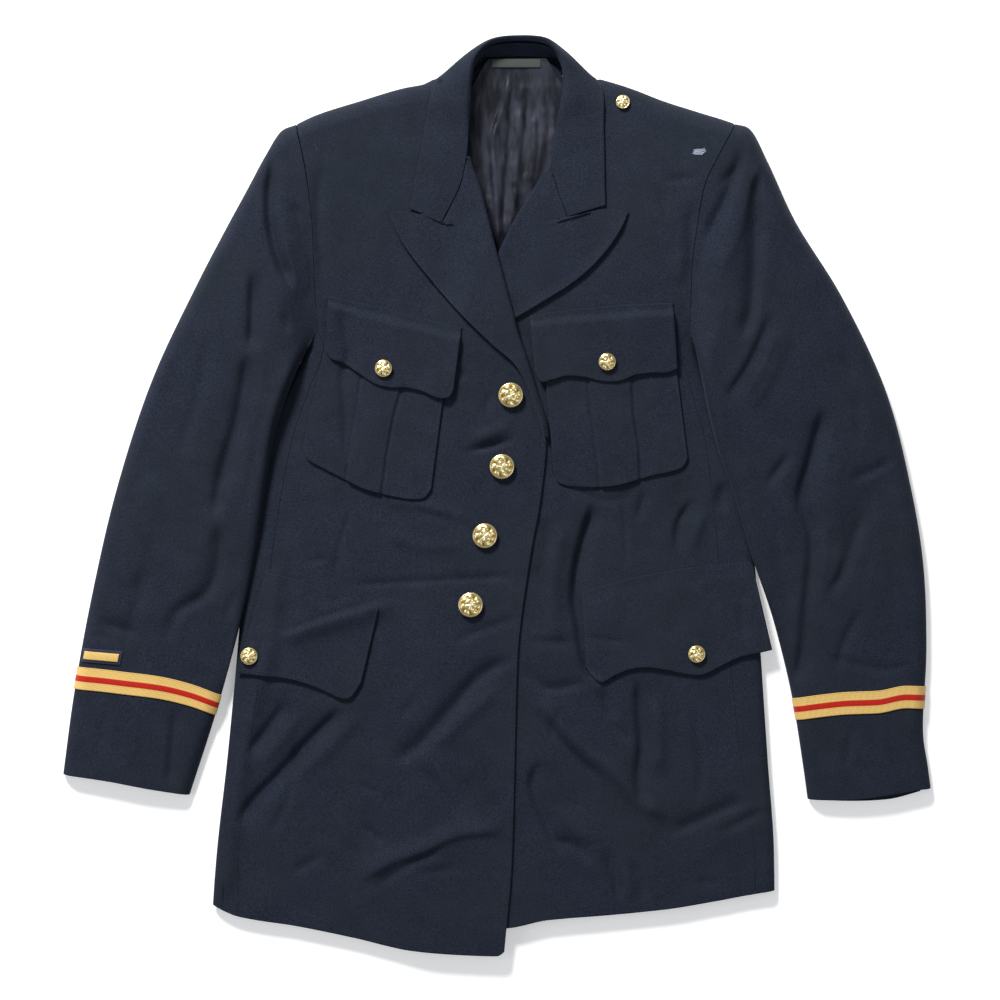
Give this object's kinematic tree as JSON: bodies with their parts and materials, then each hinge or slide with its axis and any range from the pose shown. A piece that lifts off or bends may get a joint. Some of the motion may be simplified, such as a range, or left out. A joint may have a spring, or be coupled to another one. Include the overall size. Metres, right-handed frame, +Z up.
{
  "type": "army service dress jacket, laid flat",
  "caption": "Single-breasted navy uniform jacket with peaked lapels, flap pockets, gilt buttons and banded cuffs, buttoned and laid flat on its back.",
  "frame": {"origin": "centre of the bounding box on the surface that the jacket lies on", "axes": "+X across the jacket towards the wearer's left, +Y towards the collar, +Z up from the surface, out of the fronts"},
  "size_m": [0.796, 0.8442, 0.0379],
  "materials": {
    "wool": "matt barathea wool",
    "satin_lining": "satin lining",
    "gilt": "polished gilt",
    "braid": "woven braid",
    "navy_tape": "woven tape",
    "label_tape": "woven tape"
  },
  "bodies": {
    "root": {"back_right": "wool", "back_left": "wool", "side_right": "wool", "side_left": "wool", "front_right": "wool", "front_left": "wool", "sleeve_under_right": "wool", "sleeve_under_left": "wool", "sleeve_top_right": "wool", "sleeve_top_left": "wool", "lapel_right": "wool", "lapel_left": "wool", "chest_pocket_right": "wool", "chest_pocket_left": "wool", "chest_flap_right": "wool", "chest_flap_left": "wool", "lower_flap_right": "wool", "lower_flap_left": "wool", "collar": "wool", "collar_stand": "wool", "front_button_1": "gilt", "front_button_2": "gilt", "front_button_3": "gilt", "front_button_4": "gilt", "chest_button_right": "gilt", "chest_button_left": "gilt", "lower_button_right": "gilt", "lower_button_left": "gilt", "shoulder_button": "gilt", "back_lining": "satin_lining", "neck_label": "label_tape", "cuff_braid_right": "braid", "cuff_braid_left": "braid", "service_bar": "braid", "service_bar_backing": "navy_tape"}
  },
  "joints": []
}
